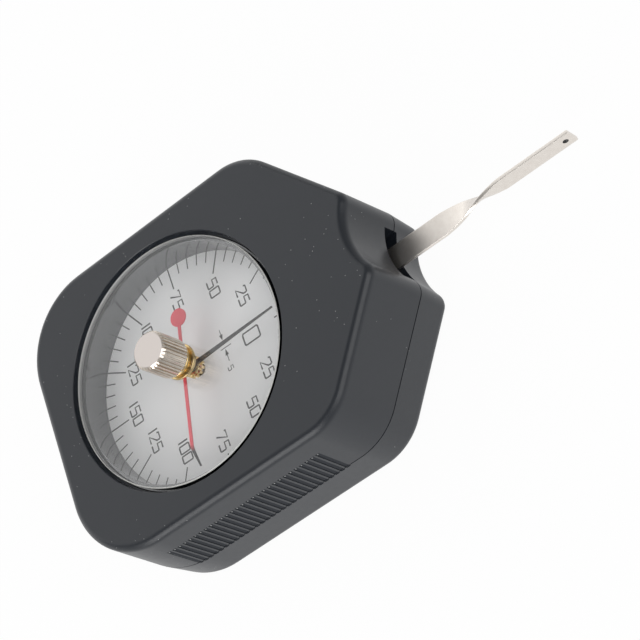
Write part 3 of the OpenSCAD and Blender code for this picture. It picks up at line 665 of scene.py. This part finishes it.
# %% Dial print
GLYPHS = {
    "0": [(0.14, 0), (1.31, 0), (1.45, 0.14), (1.45, 2.06), (1.31, 2.2), (0.14, 2.2), (0, 2.06), (0, 0.14),
          (0.14, 0)],
    "1": [(0.2, 2.2), (0.2, 0)],
    "2": [(0, 1.8), (0.15, 2.2), (1.3, 2.2), (1.45, 1.95), (1.4, 1.4), (0, 0), (1.45, 0)],
    "5": [(1.4, 2.2), (0.12, 2.2), (0.06, 1.25), (1.31, 1.25), (1.45, 1.1), (1.45, 0.14), (1.31, 0),
          (0, 0)],
    "7": [(0, 1.9), (0, 2.2), (1.45, 2.2), (0.35, 0)],
}
NARROW, GLYPH_W, GLYPH_MID, GLYPH_GAP = {"1": 0.4}, 1.45, 1.1, 0.5
LONG_MARK, SHORT_MARK, THIN, BARB, POINT = (18.7, 0.14), (21.1, 0.12), 0.08, 0.42, 0.02
INK_FLAT, INK_Z = 0.08, DIAL_Z + 0.005


def number(text, centre, size):
    """Strokes of a number about a centre."""
    widths = [NARROW.get(sign, GLYPH_W) for sign in text]
    x = centre[0] - size * (sum(widths) + GLYPH_GAP * (len(text) - 1)) / 2
    strokes = []
    for sign, width in zip(text, widths):
        strokes.append([(x + size * px, centre[1] + size * (py - GLYPH_MID)) for px, py in GLYPHS[sign]])
        x += size * (width + GLYPH_GAP)
    return strokes


def polar(radius, clockwise):
    """A point on the dial at an angle from zero."""
    return (radius * math.sin(math.radians(clockwise)), radius * math.cos(math.radians(clockwise)))


lines = []
for mark in range(60):
    inner, width = SHORT_MARK if mark % 5 else LONG_MARK
    lines.append(([polar(inner, 6 * mark), polar(RING_R, 6 * mark)], [width, width]))
SCALE_NUMBERS = [("25", -8.13, 8.2, 13.9), ("50", -13.5, 13.5, 8.45), ("75", -16.05, 15.92, -0.18),
                 ("100", -13.41, 13.05, -8.65), ("125", -8.1, 7.29, -14.35), ("150", -0.2, -0.2, -16.72)]
labels = [(text, (x, y), 1.05, 0.17) for text, left, right, y in SCALE_NUMBERS for x in sorted({left, right})]
labels += [("0", (0.3, 12.9), 1.7, 0.18), ("5", (3.6, 6.45), 0.55, 0.09)]
for text, centre, size, width in labels:
    lines += [(stroke, [width] * len(stroke)) for stroke in number(text, centre, size)]
ARROWS = [((-4.78, 6.65), (-3.7, 6.64), (-2.54, 6.62)), ((2.13, 6.62), (0.8, 6.62), (-0.49, 6.62))]
for tail, neck, tip in ARROWS:
    lines.append(([tail, neck], [THIN, THIN]))
    lines.append(([neck, tip], [BARB, POINT]))
for x in (-2.2, -0.8):
    lines.append(([(x, 5.57), (x, 8.12)], [THIN, THIN]))

pen = bpy.data.curves.new("pen", "CURVE")
pen.dimensions, pen.bevel_depth, pen.bevel_resolution, pen.use_fill_caps = "3D", 1.0, 1, True
for points, radii in lines:
    spline = pen.splines.new("POLY")
    spline.points.add(len(points) - 1)
    for point, (x, y), radius in zip(spline.points, points, radii):
        point.co, point.radius = (x, y, 0, 1), radius
pen_object = placed("pen", pen)
pen_mesh = bpy.data.meshes.new_from_object(pen_object.evaluated_get(bpy.context.evaluated_depsgraph_get()))
print_bm = bmesh.new()
print_bm.from_mesh(pen_mesh)
bpy.data.objects.remove(pen_object)
bpy.data.curves.remove(pen)
bpy.data.meshes.remove(pen_mesh)
bmesh.ops.remove_doubles(print_bm, verts=print_bm.verts, dist=1e-4)
bmesh.ops.scale(print_bm, vec=(1, 1, INK_FLAT), verts=print_bm.verts)
slide(print_bm, 0, 0, INK_Z)
bmesh.ops.recalc_face_normals(print_bm, faces=print_bm.faces)
piece("dial_print", print_bm, "case", dial_ink)

# %% [markdown]
# ## Reset knob and its bush
# The knob is bar with a straight knurl, then turned with a chamfer at both ends, so the chamfer cuts
# across ribs and grooves. The brass bush that its spindle runs in clamps the crystal between two
# flanges, one in front of it and one behind.

# %% Reset knob and bush
knob_low, knob_high = low("reset_knob"), high("reset_knob")
KNOB_R, RIBS, GROOVE_SHARE, KNOB_BORE_R = 3.82, 33, 0.115, 0.805
knurl = bmesh.new()
face = bmesh.ops.create_circle(knurl, cap_ends=True, segments=RIBS * 8, radius=KNOB_R)["verts"]
for vert in face:
    turn = math.atan2(vert.co.y, vert.co.x) / (2 * math.pi) * RIBS
    wave = abs((turn % 1) - 0.5) * 2
    sunk = min(1.0, max(0.0, (wave - 0.45) / 0.3))
    vert.co *= 1 - GROOVE_SHARE * sunk
thicken(knurl, knurl.faces[:], knob_high - knob_low)
slide(knurl, 0, 0, knob_low)
blank = turned([(0, knob_low), (KNOB_R - 0.4, knob_low), (KNOB_R, knob_low + 0.4),
                (KNOB_R, knob_high - 0.55), (KNOB_R - 0.46, knob_high - 0.06),
                (KNOB_R - 0.53, knob_high), (0, knob_high)], 180)
knob = cut(knurl, blank, "INTERSECT")
drill = bmesh.new()
rod(drill, KNOB_BORE_R, knob_low - 1, knob_high - 1.5)
piece("knurled_knob", cut(knob, drill), "peak_pointer", knob_nickel, ["reset_knob"], 24)

flange_low, rim_high = low("spindle_bush"), high("spindle_bush")
BUSH_BORE_R, NECK_R, REAR_FLANGE_R, FRONT_FLANGE_R, BUSH_PLAY = 0.84, 1.9, 3.5, 3.4, 0.05
collar = turned([(BUSH_BORE_R, flange_low), (REAR_FLANGE_R, flange_low),
                 (REAR_FLANGE_R, CRYSTAL_Z - BUSH_PLAY), (NECK_R, CRYSTAL_Z - BUSH_PLAY),
                 (NECK_R, GLASS_Z + BUSH_PLAY), (FRONT_FLANGE_R, GLASS_Z + BUSH_PLAY),
                 (FRONT_FLANGE_R, rim_high), (BUSH_BORE_R, rim_high)])
piece("spindle_collar", ease(collar, 0.18, 4), "case", brass, ["spindle_bush"])
hub_low, hub_high = low("peak_pointer_hub"), high("peak_pointer_hub")
HUB_R, HUB_BORE_R = 3.2, 0.81
hub = turned([(HUB_BORE_R, hub_low), (HUB_R, hub_low), (HUB_R, hub_high), (HUB_BORE_R, hub_high)])
piece("peak_needle_hub", ease(hub, 0.12, 3), "peak_pointer", brass, ["peak_pointer_hub"])

# %% [markdown]
# ## Needles
# Both needles are stamped from thin sheet. The black one tapers from a round boss to a point. The
# red one has a round counterweight and an end that is bent down towards the scale.

# %% Needles
def united(bodies):
    """Join several bodies into one."""
    whole = bodies[0]
    for body in bodies[1:]:
        whole = cut(whole, body, "UNION")
    return whole


def boss(radius, bottom, top, at=(0, 0)):
    """One rod as a body of its own."""
    bm = bmesh.new()
    rod(bm, radius, bottom, top, at)
    return bm


pointer_low, pointer_high = low("pointer"), high("pointer")
NEEDLE_SIZE, NEEDLE_MID, NEEDLE_BOSS_R, ARBOR_BORE_R = (1.0, 22.9, pointer_high - pointer_low), 9.05, 1.1, 0.6
NEEDLE_REST, PEAK_REST, NEEDLE_TIP, PEAK_TAPER = math.radians(1.4), math.radians(-103), 0.3, 0.55
arm = bmesh.new()
block(arm, NEEDLE_SIZE, (0, NEEDLE_MID, (pointer_low + pointer_high) / 2))
divide(arm, 0)
tips = [v for v in arm.verts if v.co.y > 20]
bmesh.ops.scale(arm, vec=(NEEDLE_TIP, 1, 1), verts=tips)
needle = united([arm, boss(NEEDLE_BOSS_R, pointer_low, pointer_high)])
needle = cut(needle, boss(ARBOR_BORE_R, pointer_low - 1, pointer_high + 1))
swing(needle, NEEDLE_REST)
piece("black_needle", ease(needle, 0.05), "pointer", needle_black, ["pointer"])

peak_high = low("peak_pointer_hub")
BEND_R, BEND_HALF, PEAK_R, PEAK_W, PEAK_T, DROP = 17.0, 0.8, 20.0, 0.66, 0.25, 2.1
WEIGHT_AT, WEIGHT_R, PEAK_BOSS_R = 9.3, 1.8, 2.0
peak_low = peak_high - PEAK_T
arm = bmesh.new()
block(arm, (PEAK_W, PEAK_R + WEIGHT_AT, PEAK_T), (0, (PEAK_R - WEIGHT_AT) / 2, (peak_low + peak_high) / 2))
for i in range(9):
    divide(arm, BEND_R + BEND_HALF * (i / 4 - 1))
for vert in arm.verts:
    past = vert.co.y - BEND_R
    bent = min(1.0, max(0.0, (past + BEND_HALF) / (2 * BEND_HALF)))
    vert.co.z -= DROP / (PEAK_R - BEND_R) * (BEND_HALF * bent * bent + max(0.0, past - BEND_HALF))
    vert.co.x *= 1 - PEAK_TAPER * max(0.0, past) / (PEAK_R - BEND_R)
needle = united([arm, boss(WEIGHT_R, peak_low, peak_high, (0, -WEIGHT_AT)),
                 boss(PEAK_BOSS_R, peak_low, peak_high)])
needle = cut(needle, boss(HUB_BORE_R, peak_low - 1, peak_high + 1))
swing(needle, PEAK_REST)
piece("red_needle", ease(needle, 0.05), "peak_pointer", needle_red, ["peak_pointer"])

star_low, star_high = low("pointer_hub"), high("pointer_hub")
STAR_R, SPLINE_LEN, SPLINE_W, SPLINE_STEP = 1.65, 4.2, 0.5, 0.3
spline_high = star_high - SPLINE_STEP
star = boss(STAR_R, star_low, star_high)
for i in range(6):
    spline = bmesh.new()
    block(spline, (SPLINE_LEN, SPLINE_W, spline_high - star_low), (0, 0, (star_low + spline_high) / 2))
    swing(spline, math.pi / 6 * i)
    star = cut(star, spline, "UNION")
star = cut(star, boss(ARBOR_BORE_R, star_low - 1, star_high + 1))
piece("splined_hub", ease(star, 0.06), "pointer", brass, ["pointer_hub"])

# %% [markdown]
# ## Lever
# A nickel strip lies flat in the case and is given a quarter turn outside it, so that the free end
# stands on edge and a thread can pull on it sideways. A long bar is divided along its length, each
# section is turned about the middle of the strip, and the eye is drilled.

# %% Lever
LEVER_W, TIP_W, STRIP_T, STRIP_EDGE, SECTION, ARBOR_HOLE_R = 4.7, 3.8, 0.72, 0.1, 0.3, 1.5
BACK_Y, TWIST_Y0, TWIST_Y1, TIP_Y, PIVOT_Y, TWIST_EASE = 25.55, 54.2, 67.9, 83.6, 31.15, 0.35
strip = bmesh.new()
block(strip, (LEVER_W, TIP_Y - BACK_Y, STRIP_T), (0, (TIP_Y + BACK_Y) / 2, 0))
long_edges = [e for e in strip.edges if abs(e.verts[0].co.y - e.verts[1].co.y) > 10]
bmesh.ops.bevel(strip, geom=long_edges, offset=STRIP_EDGE, offset_type="OFFSET", segments=3, profile=0.5,
                affect="EDGES", material=-1)
for i in range(1, int((TIP_Y - BACK_Y) / SECTION) + 1):
    divide(strip, BACK_Y + SECTION * i)
for vert in strip.verts:
    share = min(1.0, max(0.0, (vert.co.y - TWIST_Y0) / (TWIST_Y1 - TWIST_Y0)))
    eased = share - TWIST_EASE * math.sin(2 * math.pi * share) / (2 * math.pi)
    angle, size = math.pi / 2 * eased, 1 + (TIP_W / LEVER_W - 1) * share
    u, v = vert.co.x, vert.co.z
    vert.co.x = u * math.cos(angle) - v * math.sin(angle)
    vert.co.z = (u * math.sin(angle) + v * math.cos(angle)) * size + STRIP_Z
eye = bmesh.new()
rod(eye, EYE_R, -2, 2)
swing(eye, math.pi / 2, "Y")
slide(eye, 0, EYE_Y, STRIP_Z)
strip = cut(strip, eye)
strip = cut(strip, boss(ARBOR_HOLE_R, STRIP_Z - 2, STRIP_Z + 2, (0, PIVOT_Y)))
piece("twisted_lever", strip, "lever", lever_nickel, ["lever"])

# %% [markdown]
# ## Movement
# The gears, plates, springs and screws inside stay as the CAD model has them and only take their
# finishes.

# %% Movement
FINISHES = {"brass": brass, "steel": steel, "spring_steel": blued, "screw_black": oxide}
dressed = 0
for part in frame["record"]["subparts"]:
    coat = FINISHES.get(part["material_slot"])
    if coat:
        node = frame["nodes"][part["node"]]
        node.data.materials.clear()
        node.data.materials.append(coat)
        dressed += 1
print("CAD nodes with a finish:", dressed)

# %% [markdown]
# ## Room, lamps and camera
# The gauge lies on a white floor in a plain grey room that is paler near the horizon. The floor shows
# as white, in mirrors and through the crystal too, and keeps a faint shadow. Three soft boxes stand
# round it: a broad one on the left that the front face and the lever mirror, a small one on the right
# that draws a light line along the chamfered edge of the case, and one behind the camera that fills
# the shadows. The camera looks down over the right shoulder of the case with a long lens.

# %% Room, lamps and camera
floor_bm = bmesh.new()
bmesh.ops.create_grid(floor_bm, x_segments=1, y_segments=1, size=3)
slide(floor_bm, 0, 0, -0.0003)
floor = loose("white_floor", floor_bm)
ground = finish("white card")
colour = ground.mix(ground.noise(3), grey(0.94), grey(0.96))
card = ground.add("ShaderNodeBsdfDiffuse", inputs={"Color": colour})
glow = ground.add("ShaderNodeEmission", inputs={"Color": grey(1.0), "Strength": 1.0})
kinds = ("Is Camera Ray", "Is Glossy Ray", "Is Transmission Ray")
rays = [ground.add("ShaderNodeLightPath", output=kind) for kind in kinds]
seen = ground.maths("MAXIMUM", ground.maths("MAXIMUM", rays[0], rays[1]), rays[2])
shown = ground.add("ShaderNodeMixShader", inputs={0: seen * 0.96, 1: card, 2: glow})
floor.data.materials.append(ground.surface(shown))

world = bpy.data.worlds.new("grey room")
bpy.context.scene.world = world
room = Finish(world)
gaze = room.add("ShaderNodeTexCoord", output="Generated")
rise = room.add("ShaderNodeSeparateXYZ", inputs={"Vector": gaze}, output="Z")
level = 0.3 + 0.5 * room.maths("POWER", 1.0 - room.maths("ABSOLUTE", rise), 3.0)
colour = room.mix(level, grey(0.0), grey(1.0))
sky = room.add("ShaderNodeBackground", inputs={"Color": colour, "Strength": 1.0})
room.surface(sky, "ShaderNodeOutputWorld")


def soft_box(name, direction, distance, size, energy):
    """Hang a square lamp that faces the gauge."""
    lamp = bpy.data.lights.new(name, "AREA")
    lamp.energy, lamp.size = energy, size
    hung = placed(name, lamp)
    hung.location = Vector(direction).normalized() * distance
    hung.rotation_euler = Vector(direction).to_track_quat("Z", "Y").to_euler()


soft_box("broad soft box", (-0.68, -0.58, 0.45), 1.2, 2.0, 10.2)
soft_box("small soft box", (0.77, -0.41, 0.5), 0.9, 0.5, 2.9)
soft_box("fill soft box", (0.42, 0.62, 0.66), 1.2, 0.8, 4.2)

eye_view = bpy.data.cameras.new("bench camera")
eye_view.lens, eye_view.sensor_width = 132.8388, 36
camera = placed("bench camera", eye_view)
camera.location = (0.22007195, 0.20254951, 0.34670822)
camera.rotation_mode = "QUATERNION"
camera.rotation_quaternion = (0.80398966, -0.04845237, 0.33890825, 0.48620386)
bpy.context.scene.camera = camera
bpy.context.scene.view_settings.view_transform = "Standard"
print("camera", [round(c, 3) for c in camera.location])
